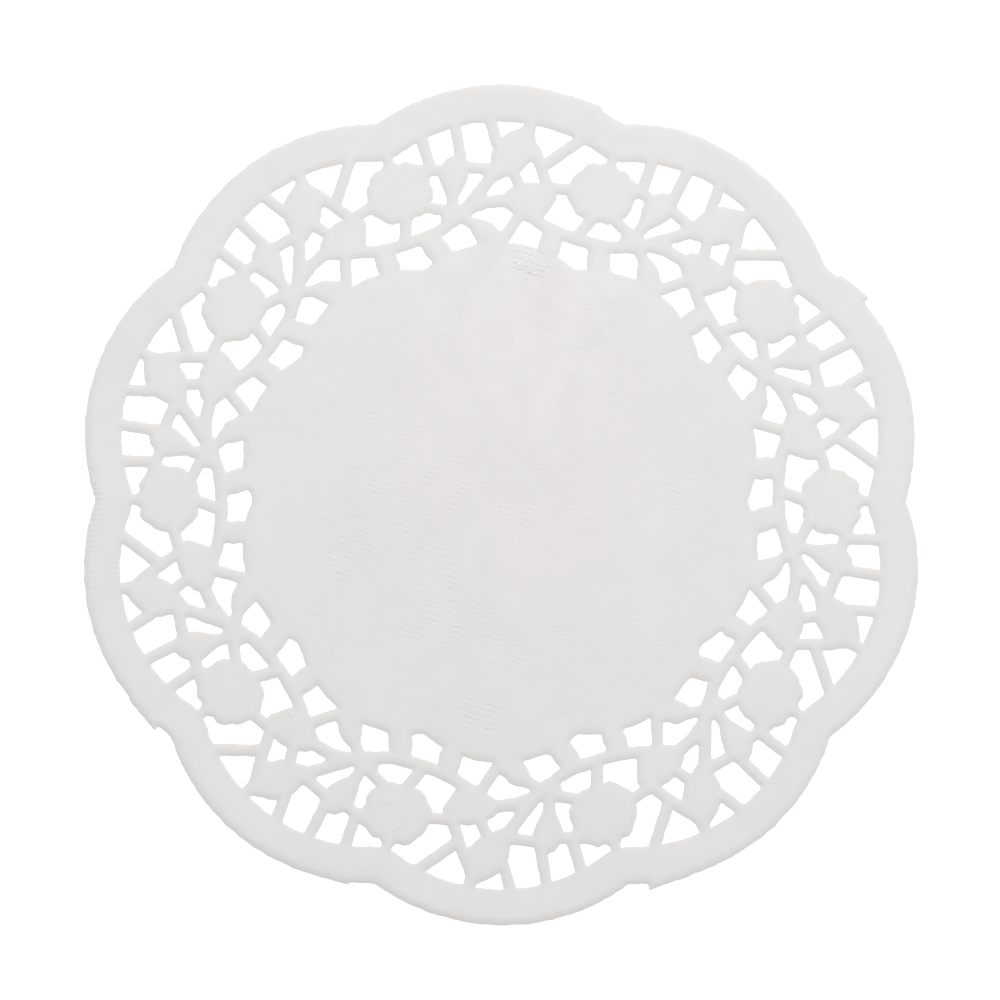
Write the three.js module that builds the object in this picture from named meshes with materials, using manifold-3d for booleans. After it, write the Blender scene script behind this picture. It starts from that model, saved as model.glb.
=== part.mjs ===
// A round paper doily: one flat sheet, die-cut with a scalloped rim and a lace band of ten like repeats.
// Millimetres, +Z up. The underside lies in z = 0 and the middle of the lace is the origin.
import * as THREE from "three";
import { mergeVertices } from "three/addons/utils/BufferGeometryUtils.js";
import Module from "manifold-3d";

const wasm = await Module();
wasm.setup();

// Driving sizes
const LOBES = 10; // lobes of the rim, and repeats of the lace
const NOTCH = 180 / LOBES; // degrees from the middle of a lobe to the notch beside it
const THICKNESS = 1.0; // the sheet with its pressed relief and waviness
const RIM = {
  tip: 70.0, // middle of a lobe to the middle of the sheet
  arc: 34.8, // radius of a lobe's round edge
  shift: 0.22, // the outer cut sits this far towards the first lobe, off the lace
  stops: [0, 3.5, 7, 10, 13, 15.5, NOTCH], // degrees off a lobe's middle where the edge has a point
  innerTip: 64.0, // lace side of the rim, at the middle of a lobe
  innerArc: 27.6,
  innerLow: 60.3, // the lace side never comes nearer to the middle than this
  innerStops: [0, 4, 8, 11, 14, 16.5, NOTCH],
};
const MIDDLE = { tip: 43.5, arc: 18.8, stops: [0, 5, 10, 14, NOTCH] }; // the plain middle's edge
const KNOT = { at: [48.45, -9.5], reach: 2.0, sides: 10 };

const SMALLEST_NICK = 0.04; // square millimetres: a corner of the cut that makes less is left out
const CHINK = 0.5; // a slit of the cut or a spur of the paper ends where it is this wide
const DETOUR = 2; // the edge is at least this many times as long round a slit or spur as across it
const LONGEST_DETOUR = 3;
const EDGE_STEP = 0.05; // how finely the edge is searched for slits and spurs
const STRAIGHT = 1e-6; // square millimetres: a point that makes less lies on a straight run
const STEP_CLEAR = 0.5; // degrees beside a jump in the cut without a point of the even edge
const SMALLEST_HOLE = 1.0; // square millimetres: a chink between two joined motifs is no hole of the die

// Places are [distance from the middle in mm, degrees clockwise from the middle of the lobe].

// Where the outer cut swells past its even curve, or falls short of it, over half degrees either side.
const RIM_SWELLS = [
  { at: 4, half: 12, out: 0.22 },
  { at: 25, half: 10, out: 0.35 },
  { at: 48, half: 7, out: -0.15 },
  { at: 100, half: 16, out: 0.3 },
  { at: 168, half: 20, out: 0.2 },
  { at: 268, half: 16, out: -0.18 },
];

// Where the cut of the rim jumped: the edge stands out from one clock angle to the other.
// Its foot leans back under each end by so many degrees.
const RIM_STEPS = [
  { from: 9.8, to: 14.5, rise: 0.2, riseEnd: 0.65, lean: 0.02, leanEnd: 0.02 },
  { from: 56.0, to: 60.7, rise: 0.6, riseEnd: 1.3, lean: 0.02, leanEnd: -0.5 },
  { from: 153.5, to: 159.6, rise: 0.15, riseEnd: 1.15, lean: 0.02, leanEnd: 0.35 },
  { from: 201.4, to: 204.6, rise: 0.4, riseEnd: 0.1, lean: 0.02, leanEnd: 0.02 },
  { from: 235.8, to: 241.5, rise: 0.95, riseEnd: 0.25, lean: 0.3, leanEnd: 0.02 },
];

// The flower at the notch, petal by petal, counted anticlockwise from the one on its right.
const FLOWER = {
  at: [54.25, -18],
  roundShare: 0.22, // share of a petal's turn, either side of its middle, at its full reach
  petals: [
    { reach: 5.75, dip: 0.3 }, // dip: how far the edge draws in before the next petal
    { reach: 5.85, dip: 0.3 },
    { reach: 5.7, dip: 0.65 },
    { reach: 5.6, dip: 0.65 },
    { reach: 5.5, dip: 0.3 },
    { reach: 5.4, dip: 0.15 },
    { reach: 5.7, dip: 0.25 },
    { reach: 5.4, dip: 0.3 },
    { reach: 5.05, dip: 0.35 },
    { reach: 5.35, dip: 0.2 },
  ],
};

// Straight and bent ribbons of paper between the motifs and the rim.
const RIBBONS = [
  { name: "bar beside the flower", path: [[63.2, -12.1], [56.6, -11.6]], width: 1.95 },
  { name: "bar over the small leaf", path: [[64.8, -6.7], [57.5, -6.4]], width: 1.95 },
  { name: "bar over the great leaf", path: [[65.2, -1.6], [60.0, -0.4]], width: 1.95 },
  {
    name: "stem of the great leaf",
    path: [[65.0, 4.8], [61.6, 4.5], [59.3, 5.7], [56.4, 7.0], [53.8, 8.3]],
    width: 1.95,
  },
  { name: "slanting bar", path: [[62.85, 12.95], [56.35, 6.8]], width: 2.0 },
  { name: "great leaf to bud", path: [[56.0, 2.1], [52.2, 3.9]], width: 1.9 },
  { name: "small leaf to great leaf", path: [[56.7, -7.0], [55.8, -1.2]], width: 1.95 },
  { name: "flower to small leaf", path: [[57.3, -13.8], [56.3, -8.8]], width: 1.9 },
  { name: "flower to knot", path: [[51.0, -14.5], [49.3, -9.4]], width: 1.95 },
  { name: "bud to next flower", path: [[53.2, 8.0], [53.8, 13.6]], width: 1.95 },
  { name: "flower to vine", path: [[51.0, -17.7], [46.1, -19.9]], width: 2.05 },
  { name: "foot of the small leaf", path: [[52.6, -8.7], [49.0, -9.4]], width: 1.8 },
  { name: "foot of the great leaf", path: [[55.4, -0.7], [48.9, -7.1]], width: 2.1 },
  { name: "stem of the bud", path: [[48.9, -7.4], [50.2, -2.8], [50.5, 2.2]], width: 2.15 },
  { name: "bud to the middle", path: [[48.6, 4.2], [43.2, 0.1]], width: 1.95 },
  { name: "flower to rim", path: [[61.0, -17.9], [58.0, -18.2]], width: 1.7 },
  {
    name: "vine",
    path: [[48.0, 6.2], [46.85, 8.8], [45.95, 13.0], [45.7, 18.2], [46.5, 24.1], [48.4, 27.4]],
    width: 2.1,
  },
];

// Leaf-like motifs. Each row gives how far a motif reaches to its left and right, at a share of its length.
const LEAVES = [
  {
    name: "great leaf",
    foot: [54.3, -0.9],
    tip: [63.9, 4.9],
    sections: [
      { at: 0.0, left: 0.5, right: 0.6 },
      { at: 0.15, left: 2.05, right: 1.75 },
      { at: 0.31, left: 2.95, right: 3.05 },
      { at: 0.52, left: 3.2, right: 3.35 },
      { at: 0.66, left: 2.6, right: 3.2 },
      { at: 0.78, left: 1.75, right: 2.4 },
      { at: 0.9, left: 0.8, right: 1.1 },
    ],
  },
  {
    name: "small leaf",
    foot: [50.4, -9.0],
    tip: [59.0, -6.7],
    sections: [
      { at: 0.0, left: 1.0, right: 0.95 },
      { at: 0.16, left: 1.25, right: 0.9 },
      { at: 0.41, left: 2.45, right: 1.75 },
      { at: 0.55, left: 3.0, right: 2.15 },
      { at: 0.75, left: 2.5, right: 2.0 },
      { at: 0.88, left: 1.8, right: 1.3 },
    ],
  },
  {
    name: "bud",
    foot: [46.9, 6.5],
    tip: [53.9, 5.3],
    sections: [
      { at: 0.1, left: 1.75, right: 1.85 },
      { at: 0.25, left: 2.95, right: 2.7 },
      { at: 0.4, left: 4.3, right: 3.55 },
      { at: 0.55, left: 4.8, right: 4.35 },
      { at: 0.7, left: 4.6, right: 4.4 },
      { at: 0.83, left: 3.9, right: 3.6 },
      { at: 0.94, left: 2.3, right: 2.7 },
    ],
  },
  {
    name: "leaf to the middle",
    foot: [48.0, -7.1],
    tip: [42.9, -1.7],
    sections: [
      { at: 0.0, left: 1.0, right: 1.2 },
      { at: 0.17, left: 1.05, right: 0.9 },
      { at: 0.3, left: 1.65, right: 0.65 },
      { at: 0.43, left: 2.2, right: 1.0 },
      { at: 0.6, left: 2.65, right: 1.3 },
      { at: 0.76, left: 2.55, right: 1.45 },
      { at: 0.95, left: 2.8, right: 1.5 },
    ],
  },
  {
    name: "first bead",
    foot: [46.4, 11.0],
    tip: [41.8, 10.9],
    sections: [
      { at: 0.1, left: 2.1, right: 1.6 },
      { at: 0.33, left: 1.95, right: 1.85 },
      { at: 0.5, left: 1.8, right: 1.95 },
      { at: 0.75, left: 1.9, right: 1.95 },
      { at: 0.95, left: 1.5, right: 1.9 },
    ],
  },
  {
    name: "second bead",
    foot: [45.4, -14.8],
    tip: [41.5, -12.9],
    sections: [
      { at: 0.05, left: 1.7, right: 1.8 },
      { at: 0.33, left: 1.9, right: 2.05 },
      { at: 0.55, left: 2.0, right: 2.05 },
      { at: 0.85, left: 1.95, right: 1.8 },
    ],
  },
];

// A place on the sheet, for a distance and a clock angle.
function spot([distance, clock]) {
  const turn = THREE.MathUtils.degToRad(clock);
  return new THREE.Vector2(distance * Math.sin(turn), distance * Math.cos(turn));
}

// Where a ray at a clock angle off the lobe's middle leaves a circle whose far point is at tip.
function lobeEdge(tip, arc, clock) {
  const turn = THREE.MathUtils.degToRad(clock);
  const centre = tip - arc;
  return centre * Math.cos(turn) + Math.sqrt(arc ** 2 - (centre * Math.sin(turn)) ** 2);
}

// The clock angle from the nearest lobe's middle.
function offLobe(clock) {
  return clock - 2 * NOTCH * Math.round(clock / (2 * NOTCH));
}

// An outline once round the sheet, from its distance at each clock angle.
function roundOutline(distanceAt, clocks) {
  return clocks.map((clock) => spot([distanceAt(clock), clock])).reverse();
}

// Clock angles all the way round, rising, with the same stops either side of each lobe's middle.
function clocksRound(stops) {
  const before = stops.slice(1).reverse().map((stop) => -stop);
  const clocks = [];
  for (let lobe = 0; lobe < LOBES; lobe++)
    for (const stop of [...before, ...stops.slice(0, -1)]) clocks.push(2 * NOTCH * lobe + stop);
  return clocks;
}

// How far a swell of the rim moves the edge at a clock angle.
function swellOut({ at, half, out }, clock) {
  const off = Math.abs(THREE.MathUtils.euclideanModulo(clock - at + 180, 360) - 180);
  return off < half ? (out * (1 + Math.cos((Math.PI * off) / half))) / 2 : 0;
}

// The outer edge's distance from the middle of the lace at a clock angle, without its jumps.
function rimDistance(clock) {
  const turn = THREE.MathUtils.degToRad(clock);
  const swell = RIM_SWELLS.reduce((sum, each) => sum + swellOut(each, clock), 0);
  return lobeEdge(RIM.tip, RIM.arc, offLobe(clock)) + RIM.shift * Math.cos(turn) + swell;
}

// The four corners of a jump in the cut, clockwise.
function stepCorners({ from, to, rise, riseEnd, lean, leanEnd }) {
  return [
    { clock: from, foot: from + lean, rise: 0 },
    { clock: from, foot: from, rise },
    { clock: to, foot: to, rise: riseEnd },
    { clock: to, foot: to - leanEnd, rise: 0 },
  ].map(({ clock, foot, rise: out }) => ({ clock, point: spot([rimDistance(foot) + out, foot]) }));
}

// The rim: scalloped outside, with its jumps, and scalloped less deeply on the lace side.
function rimShape() {
  const even = clocksRound(RIM.stops)
    .map((clock) => (clock + 360) % 360)
    .filter((clock) => !RIM_STEPS.some((s) => clock > s.from - STEP_CLEAR && clock < s.to + STEP_CLEAR))
    .map((clock) => ({ clock, point: spot([rimDistance(clock), clock]) }));
  const points = [...even, ...RIM_STEPS.flatMap(stepCorners)].sort((p, q) => p.clock - q.clock);
  const shape = new THREE.Shape(points.map(({ point }) => point).reverse());
  const inner = (clock) => Math.max(RIM.innerLow, lobeEdge(RIM.innerTip, RIM.innerArc, offLobe(clock)));
  shape.holes.push(new THREE.Path(roundOutline(inner, clocksRound(RIM.innerStops))));
  return shape;
}

function middleShape() {
  const edge = (clock) => lobeEdge(MIDDLE.tip, MIDDLE.arc, offLobe(clock));
  return new THREE.Shape(roundOutline(edge, clocksRound(MIDDLE.stops)));
}

// A ribbon of one width along a smooth path, or a straight one where the path has two places.
function ribbonShape({ path, width }) {
  const places = path.map(spot);
  const curve = places.length > 2 ? new THREE.SplineCurve(places) : new THREE.LineCurve(...places);
  const steps = places.length > 2 ? 2 * (places.length - 1) : 1;
  const left = [];
  const right = [];
  for (let i = 0; i <= steps; i++) {
    const point = curve.getPoint(i / steps);
    const tangent = curve.getTangent(i / steps);
    const side = new THREE.Vector2(-tangent.y, tangent.x).multiplyScalar(width / 2);
    left.push(point.clone().add(side));
    right.push(point.clone().sub(side));
  }
  return new THREE.Shape([...right, ...left.reverse()]);
}

// A leaf from its foot to its tip, as wide at each section as its row says.
function leafShape({ foot, tip, sections }) {
  const start = spot(foot);
  const along = spot(tip).sub(start);
  const length = along.length();
  along.normalize();
  const across = new THREE.Vector2(-along.y, along.x);
  const place = (share, off) =>
    start.clone().addScaledVector(along, share * length).addScaledVector(across, off);
  const right = sections.map((s) => place(s.at, -s.right));
  const left = sections.map((s) => place(s.at, s.left)).reverse();
  return new THREE.Shape([place(0, 0), ...right, place(1, 0), ...left]);
}

// A round flower: each petal bulges to its own reach, and the edge draws in between two petals.
function flowerShape({ at, roundShare, petals }) {
  const centre = spot(at);
  const place = (reach, petal) => {
    const angle = (2 * Math.PI * petal) / petals.length;
    return new THREE.Vector2(reach * Math.cos(angle), reach * Math.sin(angle)).add(centre);
  };
  const points = petals.flatMap(({ reach, dip }, i) => {
    const next = petals[(i + 1) % petals.length].reach;
    const drawnIn = (reach + next) / 2 - dip;
    return [place(reach, i - roundShare), place(reach, i + roundShare), place(drawnIn, i + 1 / 2)];
  });
  return new THREE.Shape(points);
}

function knotShape({ at, reach, sides }) {
  const centre = spot(at);
  const round = new THREE.EllipseCurve(centre.x, centre.y, reach, reach);
  return new THREE.Shape(round.getPoints(sides).slice(1));
}

// A flat outline as a solid of the sheet's thickness.
function sheetSolid(shape) {
  const geometry = new THREE.ExtrudeGeometry(shape, { depth: THICKNESS, bevelEnabled: false });
  geometry.deleteAttribute("normal");
  geometry.deleteAttribute("uv");
  const merged = mergeVertices(geometry, 1e-4);
  return solidFrom(merged.attributes.position.array, merged.index.array);
}

function solidFrom(positions, triangles) {
  return new wasm.Manifold(
    new wasm.Mesh({
      numProp: 3,
      vertProperties: new Float32Array(positions),
      triVerts: new Uint32Array(triangles),
    }),
  );
}

function joined(solids) {
  return solids.reduce((whole, solid) => whole.add(solid));
}

// The same solid, turned clockwise by whole repeats.
function turned(solid, repeats) {
  const mesh = solid.getMesh();
  const turn = new THREE.Matrix4().makeRotationZ((-2 * Math.PI * repeats) / LOBES);
  const positions = new THREE.BufferAttribute(new Float32Array(mesh.vertProperties), 3).applyMatrix4(turn);
  return solidFrom(positions.array, mesh.triVerts);
}

// The closed outlines of a solid's top face, each a loop of points.
function topOutlines(solid) {
  const { vertProperties: p, triVerts: t } = solid.getMesh();
  const edges = new Map();
  for (let i = 0; i < t.length; i += 3) {
    const corners = [t[i], t[i + 1], t[i + 2]];
    if (corners.some((v) => p[3 * v + 2] < THICKNESS / 2)) continue;
    corners.forEach((v, j) => edges.set(v + " " + corners[(j + 1) % 3], [v, corners[(j + 1) % 3]]));
  }
  const next = new Map();
  for (const [from, to] of edges.values()) if (!edges.has(to + " " + from)) next.set(from, to);
  const loops = [];
  while (next.size) {
    const loop = [];
    let v = next.keys().next().value;
    while (next.has(v)) {
      loop.push(new THREE.Vector2(p[3 * v], p[3 * v + 1]));
      const to = next.get(v);
      next.delete(v);
      v = to;
    }
    loops.push(loop);
  }
  return loops;
}

// How much area the corner at a point of a loop makes with its two neighbours.
function cornerArea(points, i) {
  const before = points[(i + points.length - 1) % points.length];
  const after = points[(i + 1) % points.length];
  return Math.abs(THREE.ShapeUtils.area([before, points[i], after]));
}

// The loop with a point at every step along it.
function dividedLoop(loop) {
  return loop.flatMap((point, i) => {
    const next = loop[(i + 1) % loop.length];
    const parts = Math.ceil(point.distanceTo(next) / EDGE_STEP);
    return Array.from({ length: parts }, (_, k) => point.clone().lerp(next, k / parts));
  });
}

// Where the edge goes furthest round a narrow slit or spur, and over how many points.
function longestDetour(points) {
  let longest = { start: 0, count: 0, length: 0 };
  points.forEach((from, start) => {
    let last = from;
    let length = 0;
    for (let count = 1; count < points.length / 2 && length < LONGEST_DETOUR; count++) {
      const to = points[(start + count) % points.length];
      length += last.distanceTo(to);
      last = to;
      const across = from.distanceTo(to);
      if (across < CHINK && length > DETOUR * across && length > longest.length + STRAIGHT)
        longest = { start, count, length };
    }
  });
  return longest;
}

// The same loop, going straight across each narrow slit of the cut and each narrow spur of the paper.
function withoutChinks(loop) {
  let points = dividedLoop(loop);
  for (;;) {
    const { start, count } = longestDetour(points);
    if (!count) return points.filter((_, i) => cornerArea(points, i) > STRAIGHT);
    points = [...points.slice(start), ...points.slice(0, start)];
    points.splice(1, count - 1);
  }
}

// The loop without the corners whose triangle with their two neighbours is no more than a nick.
function tidyLoop(loop) {
  const points = [...loop];
  for (;;) {
    const nicks = points.map((_, i) => cornerArea(points, i));
    const least = Math.min(...nicks);
    if (least > SMALLEST_NICK) return points;
    points.splice(nicks.indexOf(least), 1);
  }
}

// The whole sheet: every motif joined to its neighbours, then one sheet cut along the outline they leave.
function doilyGeometry() {
  const motifs = [
    ...RIBBONS.map(ribbonShape),
    ...LEAVES.map(leafShape),
    flowerShape(FLOWER),
    knotShape(KNOT),
  ];
  const repeat = joined(motifs.map(sheetSolid));
  const lace = Array.from({ length: LOBES }, (_, k) => turned(repeat, k));
  const whole = joined([sheetSolid(middleShape()), sheetSolid(rimShape()), ...lace]);
  const loops = topOutlines(whole).map(withoutChinks).map(tidyLoop);
  const areas = loops.map((loop) => THREE.ShapeUtils.area(loop));
  const sheet = new THREE.Shape(loops[areas.indexOf(Math.max(...areas))]);
  sheet.holes = loops.filter((_, i) => areas[i] < -SMALLEST_HOLE).map((loop) => new THREE.Path(loop));
  return new THREE.ExtrudeGeometry(sheet, { depth: THICKNESS, bevelEnabled: false });
}

const paper = new THREE.MeshStandardMaterial({ color: 0xe6e5e3, roughness: 0.9, metalness: 0 });
const doily = new THREE.Mesh(doilyGeometry(), paper);
doily.name = "doily";

const root = new THREE.Group();
root.add(doily);
export default root;
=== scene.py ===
"""A round paper doily: one thin sheet, pressed and die-cut, lying face up on a pale floor."""

import logging
import math
from collections.abc import Iterable
from dataclasses import dataclass
from enum import Enum

import bmesh
import bpy
from mathutils import Matrix, Vector, noise
from mathutils.bvhtree import BVHTree


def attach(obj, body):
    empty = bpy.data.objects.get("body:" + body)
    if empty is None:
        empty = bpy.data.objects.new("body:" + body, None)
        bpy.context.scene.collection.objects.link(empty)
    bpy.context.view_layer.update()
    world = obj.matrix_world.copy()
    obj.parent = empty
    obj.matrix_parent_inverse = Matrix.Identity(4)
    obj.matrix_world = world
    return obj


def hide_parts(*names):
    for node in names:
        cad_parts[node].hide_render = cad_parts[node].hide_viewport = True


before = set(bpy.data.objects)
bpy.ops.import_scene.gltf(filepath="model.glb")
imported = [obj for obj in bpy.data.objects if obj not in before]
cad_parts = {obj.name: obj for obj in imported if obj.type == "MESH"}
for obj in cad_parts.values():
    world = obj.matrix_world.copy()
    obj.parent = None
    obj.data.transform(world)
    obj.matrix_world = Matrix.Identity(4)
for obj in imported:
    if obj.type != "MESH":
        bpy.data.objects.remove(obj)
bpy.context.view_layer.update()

MM = 0.001
CLEAR = 1e-3  # share of a cell within which a vertex counts as lying on a line of the grid
EDGE_DISTANCE = "edge_distance"  # the sheet's own attribute: millimetres to the nearest cut edge
PLAIN_NOISE = 1.0  # octaves of a noise with hardly any finer noise on it
BUSY_NOISE = 3.0
log = logging.getLogger("doily")


class Ease(Enum):
    """How a height rises from a cut edge to its full value."""

    ROLLED = "rolled"
    SWELLING = "swelling"

    def share(self, along: float) -> float:
        """How much of the full height is reached.

        Args:
            along: distance from the edge, as a share of the width of the rise.

        Returns:
            A share from 0 at the edge to 1 where the rise ends.
        """
        t = min(max(along, 0.0), 1.0)
        if self is Ease.ROLLED:
            return 1 - (1 - t) ** 2
        return t * t * (3 - 2 * t)


@dataclass(frozen=True)
class Rise:
    """A rise of the paper inwards from every cut edge, in millimetres."""

    height: float
    width: float
    ease: Ease

    def at(self, distance: float) -> float:
        """The height at a distance from the nearest cut edge."""
        return self.height * self.ease.share(distance / self.width)


@dataclass(frozen=True)
class Wave:
    """A slow unevenness of the lying sheet, in millimetres."""

    height: float
    length: float
    seed: float

    def at(self, x: float, y: float) -> float:
        """The height at a place on the sheet."""
        return self.height * noise.noise(Vector((x / self.length, y / self.length, self.seed)))


@dataclass
class PressedSheet:
    """The paper: cut along the outline of the solid, eased at its corners and pressed into relief.

    Its sizes are in millimetres, as on the die, and the finished mesh is in metres. The pressed edge and
    the puffed motifs rise from every cut. The curl rises and the lift falls from the outer one alone.
    """

    node: str = "doily"
    paper: float = 0.14
    same_point: float = 0.005
    outline_step: float = 0.45
    shortest_step: float = 0.15
    corner_easing: float = 0.3
    fray: tuple[Wave, Wave] = (
        Wave(height=0.12, length=1.1, seed=0.6),
        Wave(height=0.12, length=1.1, seed=4.2),
    )
    border: tuple[float, ...] = (0.12, 0.19)
    fine_cell: float = 0.53
    coarse_cell: float = 1.59  # a whole number of fine cells, so that no slivers lie between their lines
    fine_within: float = 1.3
    joined_within: float = 0.01  # radians between two faces that become one
    facing_up: float = 0.9
    wall_height: float = 4.0
    sharp_edge_deg: float = 50.0
    pressed_edge: Rise = Rise(height=0.24, width=0.95, ease=Ease.ROLLED)
    rim_curl: Rise = Rise(height=0.16, width=1.5, ease=Ease.ROLLED)
    rim_lift: Rise = Rise(height=-0.3, width=7.0, ease=Ease.ROLLED)
    puffed_motif: Rise = Rise(height=0.05, width=2.2, ease=Ease.SWELLING)
    waves: tuple[Wave, ...] = (
        Wave(height=0.22, length=48.0, seed=3.7),
        Wave(height=0.07, length=17.0, seed=8.1),
    )

    def build(self) -> bpy.types.Object:
        """Makes the sheet.

        Returns:
            The object of the sheet, at the origin, with its place in its mesh.
        """
        bm = self.cut_outline()
        self.ease_corners(bm)
        self.fray_cut(bm)
        walls = self.walls_of(bm, bm.edges)
        rim = self.walls_of(bm, self.rim_of(bm))
        self.divide(bm, self.fill(bm), walls)
        self.press(bm, walls, rim)
        self.thicken(bm)
        return self.finished(bm)

    def cut_outline(self) -> bmesh.types.BMesh:
        """Takes the outline of the solid's top face.

        Returns:
            A mesh of edges alone: the rim and every hole of the lace.
        """
        bm = bmesh.new()
        bm.from_mesh(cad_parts[self.node].data)
        bmesh.ops.scale(bm, vec=Vector((1, 1, 1)) / MM, verts=bm.verts)
        bmesh.ops.remove_doubles(bm, verts=bm.verts, dist=self.same_point)
        top = {face for face in bm.faces if face.normal.z > self.facing_up}
        inner = [edge for edge in bm.edges if sum(face in top for face in edge.link_faces) != 1]
        bmesh.ops.delete(bm, geom=bm.faces, context="FACES_ONLY")
        bmesh.ops.delete(bm, geom=inner, context="EDGES")
        loose = [vert for vert in bm.verts if not vert.link_edges]
        bmesh.ops.delete(bm, geom=loose, context="VERTS")
        for vert in bm.verts:
            vert.co.z = 0.0
        return bm

    def ease_corners(self, bm: bmesh.types.BMesh) -> None:
        """Rounds the corners of the cut, as the worn edge of a die does.

        Args:
            bm: the outline, which gets a vertex every step along it.
        """
        groups: dict[int, list[bmesh.types.BMEdge]] = {}
        for edge in bm.edges:
            cuts = round(edge.calc_length() / self.outline_step) - 1
            groups.setdefault(cuts, []).append(edge)
        for cuts, edges in sorted(groups.items()):
            if cuts > 0:
                bmesh.ops.subdivide_edges(bm, edges=edges, cuts=cuts)
        bmesh.ops.smooth_vert(
            bm, verts=bm.verts, factor=self.corner_easing, use_axis_x=True, use_axis_y=True
        )

    def fray_cut(self, bm: bmesh.types.BMesh) -> None:
        """Makes the cut a little uneven, as paper fibres are where a die parts them.

        Args:
            bm: the outline, whose shortest steps are merged.
        """
        for vert in bm.verts:
            x, y = vert.co.xy
            vert.co.x += self.fray[0].at(x, y)
            vert.co.y += self.fray[1].at(x, y)
        bmesh.ops.remove_doubles(bm, verts=bm.verts, dist=self.shortest_step)

    def rim_of(self, bm: bmesh.types.BMesh) -> list[bmesh.types.BMEdge]:
        """Finds the outer cut.

        Args:
            bm: the outline.

        Returns:
            Its edges, one after another round the rim.
        """
        vert = max(bm.verts, key=lambda each: each.co.length)
        rim = [vert.link_edges[0]]
        while True:
            vert = rim[-1].other_vert(vert)
            onward = next(edge for edge in vert.link_edges if edge != rim[-1])
            if onward == rim[0]:
                return rim
            rim.append(onward)

    def walls_of(self, bm: bmesh.types.BMesh, edges: Iterable[bmesh.types.BMEdge]) -> BVHTree:
        """Cut edges as upright walls, for measuring distances to them.

        Args:
            bm: the outline.
            edges: the edges that become walls.

        Returns:
            A tree of the walls.
        """
        bm.edges.index_update()
        copy = bm.copy()
        copy.edges.ensure_lookup_table()
        rise = Vector((0, 0, self.wall_height))
        bmesh.ops.translate(copy, vec=-rise / 2, verts=copy.verts)
        chosen = [copy.edges[edge.index] for edge in edges]
        made = bmesh.ops.extrude_edge_only(copy, edges=chosen)
        raised = [item for item in made["geom"] if isinstance(item, bmesh.types.BMVert)]
        bmesh.ops.translate(copy, vec=rise, verts=raised)
        tree = BVHTree.FromBMesh(copy)
        copy.free()
        return tree

    def fill(self, bm: bmesh.types.BMesh) -> list[bmesh.types.BMFace]:
        """Fills the outline with paper: a narrow border along every cut, and large faces inside it.

        Args:
            bm: the outline.

        Returns:
            The faces inside the border.
        """
        bmesh.ops.triangle_fill(bm, use_beauty=True, edges=bm.edges, normal=Vector((0, 0, 1)))
        inside = list(bm.faces)
        for width in self.border:
            bmesh.ops.inset_region(
                bm, faces=inside, thickness=width, use_boundary=True, use_even_offset=True
            )
        middle = set(inside)
        diagonals = [edge for edge in bm.edges if all(face in middle for face in edge.link_faces)]
        kept = bmesh.ops.dissolve_limit(
            bm,
            angle_limit=self.joined_within,
            use_dissolve_boundaries=False,
            verts=[],
            edges=diagonals,
            delimit=set(),
        )
        return kept["region"]

    def divide(self, bm: bmesh.types.BMesh, faces: list[bmesh.types.BMFace], walls: BVHTree) -> None:
        """Divides the flat sheet into cells, fine ones near a cut edge.

        Args:
            bm: the flat sheet.
            faces: its faces inside the border.
            walls: the cut edges.
        """
        for axis in (0, 1):
            faces = self.split(bm, faces, axis, self.coarse_cell)
        near = [
            face for face in faces if walls.find_nearest(face.calc_center_median())[3] < self.fine_within
        ]
        for axis in (0, 1):
            near = self.split(bm, near, axis, self.fine_cell)
        bmesh.ops.dissolve_degenerate(bm, edges=bm.edges, dist=self.same_point)
        bmesh.ops.triangulate(bm, faces=bm.faces, quad_method="BEAUTY", ngon_method="BEAUTY")

    def split(
        self, bm: bmesh.types.BMesh, faces: list[bmesh.types.BMFace], axis: int, cell: float
    ) -> list[bmesh.types.BMFace]:
        """Cuts faces along evenly spaced lines, halving the lines that are left each time.

        Args:
            bm: the flat sheet.
            faces: the faces to cut.
            axis: 0 cuts across X, and 1 across Y.
            cell: distance between two lines.

        Returns:
            The faces that the cuts leave.
        """
        if not faces:
            return faces
        low = min(vert.co[axis] for face in faces for vert in face.verts)
        high = max(vert.co[axis] for face in faces for vert in face.verts)
        first = math.ceil(low / cell + CLEAR)
        last = math.floor(high / cell - CLEAR)
        if first > last:
            return faces
        place = cell * ((first + last) // 2)
        normal = Vector((1, 0, 0)) if axis == 0 else Vector((0, 1, 0))
        edges = list(dict.fromkeys(edge for face in faces for edge in face.edges))
        verts = list(dict.fromkeys(vert for face in faces for vert in face.verts))
        cut = bmesh.ops.bisect_plane(
            bm, geom=verts + edges + faces, dist=CLEAR * cell, plane_co=normal * place, plane_no=normal
        )
        pieces = [item for item in cut["geom"] if isinstance(item, bmesh.types.BMFace)]
        below = [face for face in pieces if face.calc_center_bounds()[axis] < place]
        above = [face for face in pieces if face.calc_center_bounds()[axis] >= place]
        return self.split(bm, below, axis, cell) + self.split(bm, above, axis, cell)

    def press(self, bm: bmesh.types.BMesh, walls: BVHTree, rim: BVHTree) -> None:
        """Presses the relief into the sheet.

        Args:
            bm: the flat sheet.
            walls: all the cut edges.
            rim: the outer cut alone.
        """
        layer = bm.verts.layers.float.new(EDGE_DISTANCE)
        for vert in bm.verts:
            distance = walls.find_nearest(vert.co)[3]
            height = self.pressed_edge.at(distance) + self.puffed_motif.at(distance)
            from_rim = rim.find_nearest(vert.co)[3]
            height += self.rim_curl.at(from_rim) + self.rim_lift.at(from_rim)
            vert.co.z = height + sum(wave.at(vert.co.x, vert.co.y) for wave in self.waves)
            vert[layer] = distance

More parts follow.
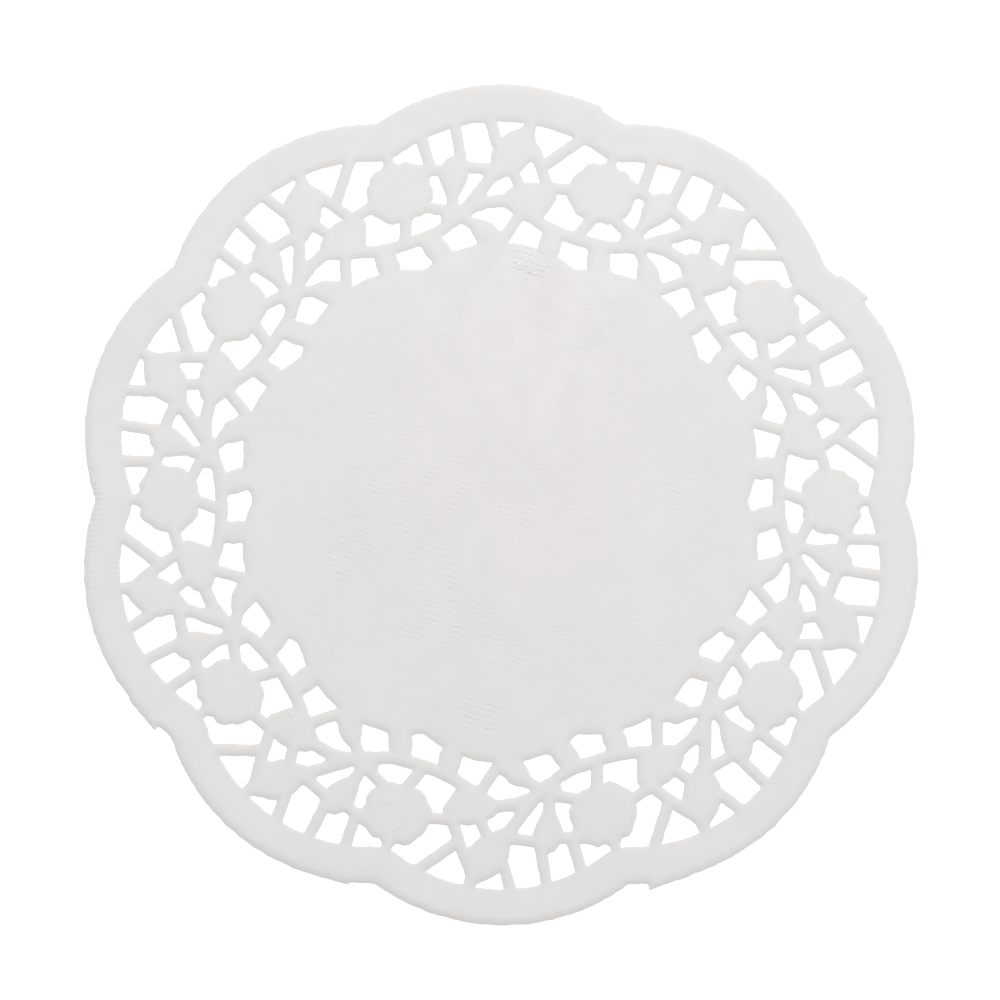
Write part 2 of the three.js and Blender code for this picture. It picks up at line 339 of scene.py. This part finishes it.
    def thicken(self, bm: bmesh.types.BMesh) -> None:
        """Gives the sheet its thickness, and sets it down on the surface.

        Args:
            bm: the pressed sheet.
        """
        under = bmesh.ops.extrude_face_region(bm, geom=bm.faces, use_keep_orig=True)
        lowered = [item for item in under["geom"] if isinstance(item, bmesh.types.BMVert)]
        bmesh.ops.translate(bm, vec=Vector((0, 0, -self.paper)), verts=lowered)
        bmesh.ops.recalc_face_normals(bm, faces=bm.faces)
        lowest = min(vert.co.z for vert in bm.verts)
        bmesh.ops.translate(bm, vec=Vector((0, 0, -lowest)), verts=bm.verts)

    def finished(self, bm: bmesh.types.BMesh) -> bpy.types.Object:
        """Turns the mesh into the object of the sheet, in metres.

        Args:
            bm: the thick sheet in millimetres.

        Returns:
            The object.
        """
        sharp = math.radians(self.sharp_edge_deg)
        for face in bm.faces:
            face.smooth = True
        for edge in bm.edges:
            edge.smooth = edge.calc_face_angle(0.0) < sharp
        bmesh.ops.scale(bm, vec=Vector((MM, MM, MM)), verts=bm.verts)
        mesh = bpy.data.meshes.new("doily_sheet")
        bm.to_mesh(mesh)
        bm.free()
        piece = bpy.data.objects.new("doily_sheet", mesh)
        bpy.context.scene.collection.objects.link(piece)
        return piece


@dataclass(frozen=True)
class Signal:
    """A socket of a shader, on which the usual operators add Math nodes."""

    shader: "Shader"
    socket: bpy.types.NodeSocket

    def __add__(self, other: "Signal | float") -> "Signal":
        """The sum."""
        return self.shader.math("ADD", self, other)

    def __radd__(self, other: float) -> "Signal":
        """The sum, with a number on the left."""
        return self.shader.math("ADD", other, self)

    def __sub__(self, other: "Signal | float") -> "Signal":
        """The difference."""
        return self.shader.math("SUBTRACT", self, other)

    def __rsub__(self, other: float) -> "Signal":
        """The difference, from a number on the left."""
        return self.shader.math("SUBTRACT", other, self)

    def __mul__(self, other: "Signal | float") -> "Signal":
        """The product."""
        return self.shader.math("MULTIPLY", self, other)

    def __rmul__(self, other: float) -> "Signal":
        """The product, with a number on the left."""
        return self.shader.math("MULTIPLY", other, self)


class Shader:
    """A material under construction."""

    def __init__(self, name: str) -> None:
        """Starts an empty material.

        Args:
            name: the material's name.
        """
        self.material = bpy.data.materials.new(name)
        self.material.use_nodes = True
        self.tree = self.material.node_tree
        self.tree.nodes.clear()

    def node(self, kind: str, settings: dict | None = None, values: dict | None = None) -> bpy.types.Node:
        """Adds a node.

        Args:
            kind: the node's type.
            settings: its own options, set before its sockets are.
            values: what goes into its sockets, by name or number: a value, or a signal to link.

        Returns:
            The node.
        """
        made = self.tree.nodes.new(kind)
        for name, value in (settings or {}).items():
            setattr(made, name, value)
        for name, value in (values or {}).items():
            if isinstance(value, Signal):
                self.tree.links.new(value.socket, made.inputs[name])
            else:
                made.inputs[name].default_value = value
        return made

    def signal(
        self, kind: str, settings: dict | None = None, values: dict | None = None, output: str | int = 0
    ) -> Signal:
        """Adds a node, and gives one of its outputs.

        Args:
            kind: the node's type.
            settings: its own options.
            values: what goes into its sockets.
            output: name or number of the output.

        Returns:
            The output.
        """
        return Signal(self, self.node(kind, settings, values).outputs[output])

    def math(self, operation: str, *terms: Signal | float) -> Signal:
        """Adds a Math node on one to three terms."""
        return self.signal("ShaderNodeMath", {"operation": operation}, dict(enumerate(terms)))

    def parts(self, place: Signal) -> tuple[Signal, Signal]:
        """The X and the Y of a coordinate."""
        split = self.node("ShaderNodeSeparateXYZ", values={"Vector": place})
        return Signal(self, split.outputs["X"]), Signal(self, split.outputs["Y"])

    def distance(self, place: Signal, start: tuple[float, float] = (0.0, 0.0)) -> Signal:
        """How far a place on the sheet is from another.

        Args:
            place: the coordinate on the sheet in millimetres.
            start: the other place, in millimetres.

        Returns:
            The distance in millimetres.
        """
        ends = {0: place, 1: (*start, 0.0)}
        return self.signal("ShaderNodeVectorMath", {"operation": "DISTANCE"}, ends, output="Value")

    def ramp(self, value: Signal, low: float, high: float) -> Signal:
        """A smooth step.

        Args:
            value: the number to judge.
            low: where the step gives 0.
            high: where it gives 1, which may be the smaller of the two.

        Returns:
            The step, from 0 to 1.
        """
        return self.signal(
            "ShaderNodeMapRange",
            {"interpolation_type": "SMOOTHSTEP"},
            {"Value": value, "From Min": low, "From Max": high},
        )

    def mix(
        self,
        share: Signal,
        first: "Signal | Iterable[float]",
        second: Iterable[float],
        blend: str = "MIX",
    ) -> Signal:
        """A mixture of two colours.

        Args:
            share: how much of the second colour there is.
            first: the first colour, or three parts of one.
            second: the three parts of the second colour.
            blend: how the second colour goes onto the first.

        Returns:
            The mixed colour.
        """
        ends = {"A": first if isinstance(first, Signal) else (*first, 1), "B": (*second, 1)}
        settings = {"data_type": "RGBA", "blend_type": blend}
        return self.signal("ShaderNodeMix", settings, {"Factor": share, **ends}, output="Result")

    def ripple(self, along: Signal, pitch: float) -> Signal:
        """An even up and down.

        Args:
            along: the distance that the ripple runs along.
            pitch: the length of one ripple.

        Returns:
            The ripple, from -1 to 1.
        """
        return self.math("SINE", along * (2 * math.pi / pitch))

    def noise(self, place: Signal, size: float, detail: float = 2.0) -> Signal:
        """A noise about zero.

        Args:
            place: the coordinate.
            size: how long a bump of the noise is, in the coordinate's unit.
            detail: octaves of finer noise.

        Returns:
            The noise, from -0.5 to 0.5.
        """
        inputs = {"Vector": place, "Scale": 1 / size, "Detail": detail}
        return self.signal("ShaderNodeTexNoise", {}, inputs) - 0.5


@dataclass(frozen=True)
class Patch:
    """A round place on the sheet where a relief, a cast of colour or painted light shows. Lengths are in
    millimetres.
    """

    at: tuple[float, float]
    reach: float
    strength: float
    full: float = 1 / 3  # share of the reach where the strength is full

    def share(self, shader: Shader, place: Signal) -> Signal:
        """How strongly the patch shows at a place.

        Args:
            shader: the paper's shader.
            place: the coordinate on the sheet in millimetres.

        Returns:
            The patch's strength, fading to zero at its reach.
        """
        away = shader.distance(place, self.at)
        return self.strength * shader.ramp(away, self.reach, self.full * self.reach)


def strength_of(patches: Iterable[Patch], shader: Shader, place: Signal) -> Signal:
    """How strongly several patches show together.

    Args:
        patches: the patches.
        shader: the paper's shader.
        place: the coordinate on the sheet in millimetres.

    Returns:
        The sum of their shares.
    """
    return sum(patch.share(shader, place) for patch in patches)


@dataclass(frozen=True)
class TintAndPaintedLight:
    """A faint cast on the white of the paper in places: a warm or cool one of its own colour, or a brighter
    one that is painted light.
    """

    cast: tuple[float, float, float]
    patches: tuple[Patch, ...]
    mottle_length: float = 5.0
    mottle_levels: tuple[float, float] = (-0.15, 0.1)

    def on(self, shader: Shader, colour: Signal, place: Signal) -> Signal:
        """Lays the cast on a colour.

        Args:
            shader: the paper's shader.
            colour: the colour without the cast.
            place: the coordinate on the sheet in millimetres.

        Returns:
            The colour with the cast.
        """
        mottle = shader.ramp(shader.noise(place, self.mottle_length, PLAIN_NOISE), *self.mottle_levels)
        share = mottle * strength_of(self.patches, shader, place)
        return shader.mix(share, colour, self.cast, blend="MULTIPLY")


@dataclass(frozen=True)
class Linen:
    """The faint linen grain pressed into the plain middle, in millimetres.

    Its levels say between which two values of a noise a dash, a clump, a scattered spot or a bead fades in.
    """

    pitch: float = 0.97
    slant_deg: float = -17.0
    depth: float = 0.042
    columns: float = 0.55
    dots: float = 0.5
    wander: float = 0.75
    wander_length: float = 1.9
    dash_length: float = 1.4
    dash_width: float = 0.9
    dash_levels: tuple[float, float] = (-0.12, 0.12)
    thinnest_dash: float = 0.05
    clump_length: float = 3.4
    clump_levels: tuple[float, float] = (-0.12, 0.15)
    thinnest_clump: float = 0.35
    thickest_clump: float = 1.25
    patch_length: float = 8.0
    patch_levels: tuple[float, float] = (0.0, 0.2)
    faintest: float = 0.45
    in_patches: float = 0.35
    fade_from: float = 42.0
    fade_to: float = 38.0
    bead_length: float = 1.7
    bead_levels: tuple[float, float] = (-0.08, 0.12)
    bead_top: tuple[float, float] = (0.8, 1.8)  # where a bead shows, in the sum of its two threads
    crisp: Patch = Patch(at=(4.8, 39.8), reach=5.6, strength=1.0)
    patches: tuple[Patch, ...] = (
        Patch(at=(4.8, 39.8), reach=5.6, strength=1.5),
        Patch(at=(-17.0, 0.0), reach=15.0, strength=0.55),
        Patch(at=(-25.0, -9.0), reach=8.0, strength=0.7),
        Patch(at=(-9.0, -17.0), reach=12.0, strength=0.7),
        Patch(at=(2.0, -23.5), reach=6.0, strength=0.8),
        Patch(at=(-3.0, -35.5), reach=5.0, strength=1.3),
        Patch(at=(1.0, 2.0), reach=13.0, strength=0.4),
        Patch(at=(15.0, 29.0), reach=6.0, strength=0.5),
        Patch(at=(30.0, 1.0), reach=6.0, strength=0.5),
    )

    def turned(self, shader: Shader, place: Signal, size: tuple[float, float]) -> Signal:
        """The coordinate, turned to run along the rows.

        Args:
            shader: the paper's shader.
            place: the coordinate on the sheet in millimetres.
            size: the new unit along and across the rows.

        Returns:
            The turned coordinate.
        """
        return shader.signal(
            "ShaderNodeMapping",
            {"vector_type": "TEXTURE"},
            {"Vector": place, "Rotation": (0, 0, math.radians(self.slant_deg)), "Scale": (*size, 1)},
        )

    def threads(self, shader: Shader, place: Signal) -> tuple[Signal, Signal]:
        """The rows and the columns of the linen.

        Args:
            shader: the paper's shader.
            place: the coordinate on the sheet in millimetres.

        Returns:
            Two ripples, each from -1 to 1.
        """
        along, across = shader.parts(self.turned(shader, place, (1, 1)))
        drift = self.wander * shader.noise(place, self.wander_length)
        return shader.ripple(across + drift, self.pitch), shader.ripple(along + drift, self.pitch)

    def bead_highlights(self, shader: Shader, place: Signal) -> Signal:
        """Where the threads cross in a bead, which gets a painted highlight for the light it would catch.

        Args:
            shader: the paper's shader.
            place: the coordinate on the sheet in millimetres.

        Returns:
            A share, from 0 to 1 on top of a bead.
        """
        rows, columns = self.threads(shader, place)
        some = shader.ramp(shader.noise(place, self.bead_length, PLAIN_NOISE), *self.bead_levels)
        return self.crisp.share(shader, place) * some * shader.ramp(rows + columns, *self.bead_top)

    def height(self, shader: Shader, place: Signal) -> Signal:
        """The grain as a height.

        Args:
            shader: the paper's shader.
            place: the coordinate on the sheet in millimetres.

        Returns:
            The height in millimetres.
        """
        rows, columns = self.threads(shader, place)
        stretched = self.turned(shader, place, (self.dash_length, self.dash_width))
        dashes = shader.ramp(shader.noise(stretched, 1.0, PLAIN_NOISE), *self.dash_levels)
        inside = shader.ramp(shader.distance(place), self.fade_from, self.fade_to)
        scattered = shader.ramp(shader.noise(place, self.patch_length, PLAIN_NOISE), *self.patch_levels)
        clumps = shader.ramp(shader.noise(place, self.clump_length, PLAIN_NOISE), *self.clump_levels)
        clumped = self.thinnest_clump + (self.thickest_clump - self.thinnest_clump) * clumps
        everywhere = inside * (self.faintest + self.in_patches * scattered)
        strength = everywhere + strength_of(self.patches, shader, place)
        woven = rows + self.columns * columns + self.dots * rows * columns
        beaded = rows + columns + rows * columns
        weave = woven + self.crisp.share(shader, place) * (beaded - woven)
        broken = self.thinnest_dash + (1 - self.thinnest_dash) * dashes
        return self.depth / 2 * strength * clumped * broken * weave


@dataclass(frozen=True)
class EdgeLines:
    """Faint pressed lines that follow the edge of the middle where the die bit deepest, in millimetres."""

    pitch: float = 0.9
    depth: float = 0.03
    inner_end: float = 2.6
    inner_start: float = 1.4
    patches: tuple[Patch, ...] = (
        Patch(at=(0.5, 43.0), reach=9.0, strength=1.0),
        Patch(at=(7.0, 41.5), reach=5.0, strength=1.0),
    )

    def height(self, shader: Shader, place: Signal, edge: Signal) -> Signal:
        """The lines as a height.

        Args:
            shader: the paper's shader.
            place: the coordinate on the sheet in millimetres.
            edge: the distance to the nearest cut edge.

        Returns:
            The height in millimetres.
        """
        strength = strength_of(self.patches, shader, place)
        near = shader.ramp(edge, self.inner_end, self.inner_start)
        return self.depth / 2 * near * strength * shader.ripple(edge, self.pitch)


@dataclass(frozen=True)
class RimPleats:
    """The finest pleats of the paper, which run in from the outer cut, in millimetres."""

    pitch: float = 0.87
    depth: float = 0.038
    around: float = 68.0
    wander: float = 0.6
    wander_length: float = 3.0
    length: float = 2.8
    inner_end: float = 62.0
    outer_start: float = 64.5
    faintest: float = 0.3
    patch: Patch = Patch(at=(-68.0, -6.0), reach=16.0, strength=0.9)

    def height(self, shader: Shader, place: Signal, edge: Signal) -> Signal:
        """The pleats as a height.

        Args:
            shader: the paper's shader.
            place: the coordinate on the sheet in millimetres.
            edge: the distance to the nearest cut edge.

        Returns:
            The height in millimetres.
        """
        x, y = shader.parts(place)
        turn = shader.math("ARCTAN2", y, x)
        along = self.around * turn + self.wander * shader.noise(place, self.wander_length)
        outside = shader.ramp(shader.distance(place), self.inner_end, self.outer_start)
        on_rim = outside * shader.ramp(edge, self.length, 0.0)
        strength = self.faintest + self.patch.share(shader, place)
        return self.depth / 2 * on_rim * strength * shader.ripple(along, self.pitch)


@dataclass(frozen=True)
class Wrinkles:
    """Fine wrinkles that handling left in single motifs, in millimetres."""

    length: float = 2.1
    levels: tuple[float, float] = (0.02, 0.16)
    depth: float = 0.07
    patches: tuple[Patch, ...] = (
        Patch(at=(-35.0, -36.6), reach=3.0, strength=1.8),
        Patch(at=(-18.5, -51.2), reach=3.4, strength=0.9),
        Patch(at=(-16.8, -55.2), reach=2.8, strength=0.9),
        Patch(at=(-48.5, -34.0), reach=2.6, strength=0.5),
    )

    def height(self, shader: Shader, place: Signal) -> Signal:
        """The wrinkles as a height.

        Args:
            shader: the paper's shader.
            place: the coordinate on the sheet in millimetres.

        Returns:
            The height in millimetres.
        """
        folds = shader.ramp(shader.noise(place, self.length, PLAIN_NOISE), *self.levels)
        return self.depth * strength_of(self.patches, shader, place) * folds


@dataclass(frozen=True)
class PaperFinish:
    """White, uncoated, pressed paper. Lengths are in millimetres."""

    white: tuple[float, float, float] = (0.8035, 0.7923, 0.778)
    shade: tuple[float, float, float] = (0.7685, 0.7592, 0.747)
    # painted highlight: the white laid on the linen beads
    painted_bead_highlight: tuple[float, float, float] = (0.93, 0.92, 0.91)
    roughness: float = 0.9
    roughness_swing: float = 0.06
    # painted shade: the white darkens by this factor in a band along every cut edge
    painted_edge_shade: float = 0.962
    pressed_width: float = 1.3
    cloud_length: float = 16.0
    cloud_levels: tuple[float, float] = (-0.5, 0.5)
    fleck_length: float = 4.5
    fleck_share: float = 0.8
    fibre_length: float = 0.35
    fibre_depth: float = 0.017
    pressed_fibre_depth: float = 0.04
    linen: Linen = Linen()
    pleats: RimPleats = RimPleats()
    edge_lines: EdgeLines = EdgeLines()
    wrinkles: Wrinkles = Wrinkles()
    tints_and_painted_light: tuple[TintAndPaintedLight, ...] = (
        # Painted light: a brighter cast over the upper middle, standing in for the stronger light that
        # falls there.
        TintAndPaintedLight(cast=(1.028, 1.028, 1.028), patches=(Patch(at=(4.0, 30.0), reach=28.0, strength=1.0),)),
        TintAndPaintedLight(
            cast=(1.009, 0.992, 0.994),
            mottle_length=3.0,
            patches=(
                Patch(at=(3.0, 12.0), reach=36.0, strength=1.0),
                Patch(at=(7.0, 34.0), reach=9.0, strength=0.6),
                Patch(at=(8.0, -10.0), reach=14.0, strength=0.4),
                Patch(at=(38.0, 52.0), reach=10.0, strength=0.6),
                Patch(at=(47.0, 44.0), reach=8.0, strength=0.6),
            ),
        ),
        TintAndPaintedLight(
            cast=(1.0, 0.998, 1.016),
            patches=(
                Patch(at=(-61.0, 20.0), reach=16.0, strength=1.0),
                Patch(at=(-52.0, 5.0), reach=9.0, strength=0.7),
                Patch(at=(37.0, -46.0), reach=20.0, strength=1.0),
                Patch(at=(13.0, -53.0), reach=11.0, strength=1.0),
                Patch(at=(48.0, -8.0), reach=9.0, strength=0.8),
                Patch(at=(-24.0, -62.0), reach=11.0, strength=0.9),
            ),
        ),
    )

    def material(self) -> bpy.types.Material:
        """Makes the paper's material.

        Returns:
            The material, ready for the sheet.
        """
        shader = Shader("paper")
        metres = shader.signal("ShaderNodeTexCoord", output="Object")
        place = shader.signal("ShaderNodeVectorMath", {"operation": "SCALE"}, {0: metres, "Scale": 1 / MM})
        flat = shader.signal("ShaderNodeVectorMath", {"operation": "MULTIPLY"}, {0: place, 1: (1, 1, 0)})
        clouds = shader.noise(flat, self.cloud_length)
        clouds = clouds + self.fleck_share * shader.noise(flat, self.fleck_length)
        open_paper = shader.mix(shader.ramp(clouds, *self.cloud_levels), self.shade, self.white)
        edge = shader.signal("ShaderNodeAttribute", {"attribute_name": EDGE_DISTANCE}, output="Fac")
        # Painted shade: a band along every cut edge is darkened in colour, standing in for the shade of the
        # rolled edges; the same band deepens the fibre relief below.
        pressed = shader.ramp(edge, self.pressed_width, self.pressed_width / 2)
        colour = shader.mix(pressed, open_paper, [self.painted_edge_shade * part for part in self.white])
        # Painted highlight: the beads of the linen are whitened where they would catch the light.
        colour = shader.mix(self.linen.bead_highlights(shader, flat), colour, self.painted_bead_highlight)
        for cast_layer in self.tints_and_painted_light:
            colour = cast_layer.on(shader, colour, flat)
        depth = self.fibre_depth + self.pressed_fibre_depth * pressed
        fibres = depth * shader.noise(flat, self.fibre_length, BUSY_NOISE)
        height = self.linen.height(shader, flat) + self.pleats.height(shader, flat, edge)
        height = height + self.edge_lines.height(shader, flat, edge) + self.wrinkles.height(shader, flat)
        relief = {"Strength": 1.0, "Distance": 1.0, "Height": (height + fibres) * MM}
        bump = shader.signal("ShaderNodeBump", {}, relief, output="Normal")
        roughness = self.roughness + self.roughness_swing * clouds
        look = {"Base Color": colour, "Roughness": roughness, "Normal": bump}
        surface = shader.signal("ShaderNodeBsdfPrincipled", {}, look)
        shader.node("ShaderNodeOutputMaterial", values={"Surface": surface})
        return shader.material


@dataclass(frozen=True)
class Studio:
    """The pale floor, the soft light and the camera of the photograph. Lengths are in metres."""

    floor_size: float = 6.0
    floor_white: float = 0.9
    floor_roughness: float = 0.9
    floor_glow: float = 0.6
    sky: float = 0.475
    key_power: float = 5.65
    key_size: float = 0.4
    key_at: tuple[float, float, float] = (0.13, 0.44, 0.85)
    distance: float = 0.8431
    azimuth_deg: float = -5.76
    elevation_deg: float = 79.78
    roll_deg: float = 5.76
    lens: float = 185.08  # millimetres
    clip_start: float = 0.01
    aim: tuple[float, float, float] = (-0.00008, -0.00002, 0.0005)

    def build(self) -> None:
        """Sets up the floor, the light, the camera and the colours of the picture."""
        self.add_floor()
        self.add_light()
        self.add_camera()
        view = bpy.context.scene.view_settings
        view.view_transform = "Standard"
        view.look = "None"

    def add_floor(self) -> None:
        """Lays the floor at the foot of the sheet."""
        bm = bmesh.new()
        bmesh.ops.create_grid(bm, x_segments=1, y_segments=1, size=self.floor_size / 2)
        mesh = bpy.data.meshes.new("floor")
        bm.to_mesh(mesh)
        bm.free()
        floor = bpy.data.objects.new("floor", mesh)
        bpy.context.scene.collection.objects.link(floor)
        shader = Shader("floor")
        white = (self.floor_white, self.floor_white, self.floor_white, 1)
        finish = {"Base Color": white, "Roughness": self.floor_roughness}
        glow = {"Emission Color": white, "Emission Strength": self.floor_glow}
        surface = shader.signal("ShaderNodeBsdfPrincipled", {}, finish | glow)
        shader.node("ShaderNodeOutputMaterial", values={"Surface": surface})
        mesh.materials.append(shader.material)

    def add_light(self) -> None:
        """Hangs the soft light up beyond the sheet, and whitens the surroundings."""
        world = bpy.data.worlds.new("studio")
        world.use_nodes = True
        background = world.node_tree.nodes["Background"]
        background.inputs["Color"].default_value = (1, 1, 1, 1)
        background.inputs["Strength"].default_value = self.sky
        bpy.context.scene.world = world
        lamp = bpy.data.lights.new("key", "AREA")
        lamp.energy = self.key_power
        lamp.size = self.key_size
        key = bpy.data.objects.new("key", lamp)
        bpy.context.scene.collection.objects.link(key)
        key.location = self.key_at
        key.rotation_euler = Vector(self.key_at).to_track_quat("Z", "Y").to_euler()

    def add_camera(self) -> None:
        """Places the camera where the photograph was taken from."""
        data = bpy.data.cameras.new("camera")
        data.lens = self.lens
        data.clip_start = self.clip_start
        camera = bpy.data.objects.new("camera", data)
        bpy.context.scene.collection.objects.link(camera)
        bpy.context.scene.camera = camera
        azimuth = math.radians(self.azimuth_deg)
        elevation = math.radians(self.elevation_deg)
        back = Vector(
            (
                math.sin(azimuth) * math.cos(elevation),
                -math.cos(azimuth) * math.cos(elevation),
                math.sin(elevation),
            )
        )
        camera.location = Vector(self.aim) + self.distance * back
        upright = (-back).to_track_quat("-Z", "Y").to_matrix().to_4x4()
        roll = Matrix.Rotation(math.radians(self.roll_deg), 4, "Z")
        camera.rotation_euler = (upright @ roll).to_euler()


@dataclass
class Doily:
    """The whole doily: one sheet of paper in its finish, laid on the floor."""

    sheet: PressedSheet
    finish: PaperFinish
    flat_area: float = 0.0125

    def build(self) -> bpy.types.Object:
        """Makes the sheet, dresses it, hangs it under the root body and hides the solid it was cut from.

        Returns:
            The sheet's object.
        """
        piece = self.sheet.build()
        piece.data.materials.append(self.finish.material())
        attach(piece, "root")
        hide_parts(self.sheet.node)
        return piece


def main() -> None:
    """Builds the doily and its setting."""
    logging.basicConfig(level=logging.INFO, format="%(message)s")
    Studio().build()
    piece = Doily(sheet=PressedSheet(), finish=PaperFinish()).build()
    log.info("%s: %d faces", piece.name, len(piece.data.polygons))


if __name__ == "__main__":
    main()
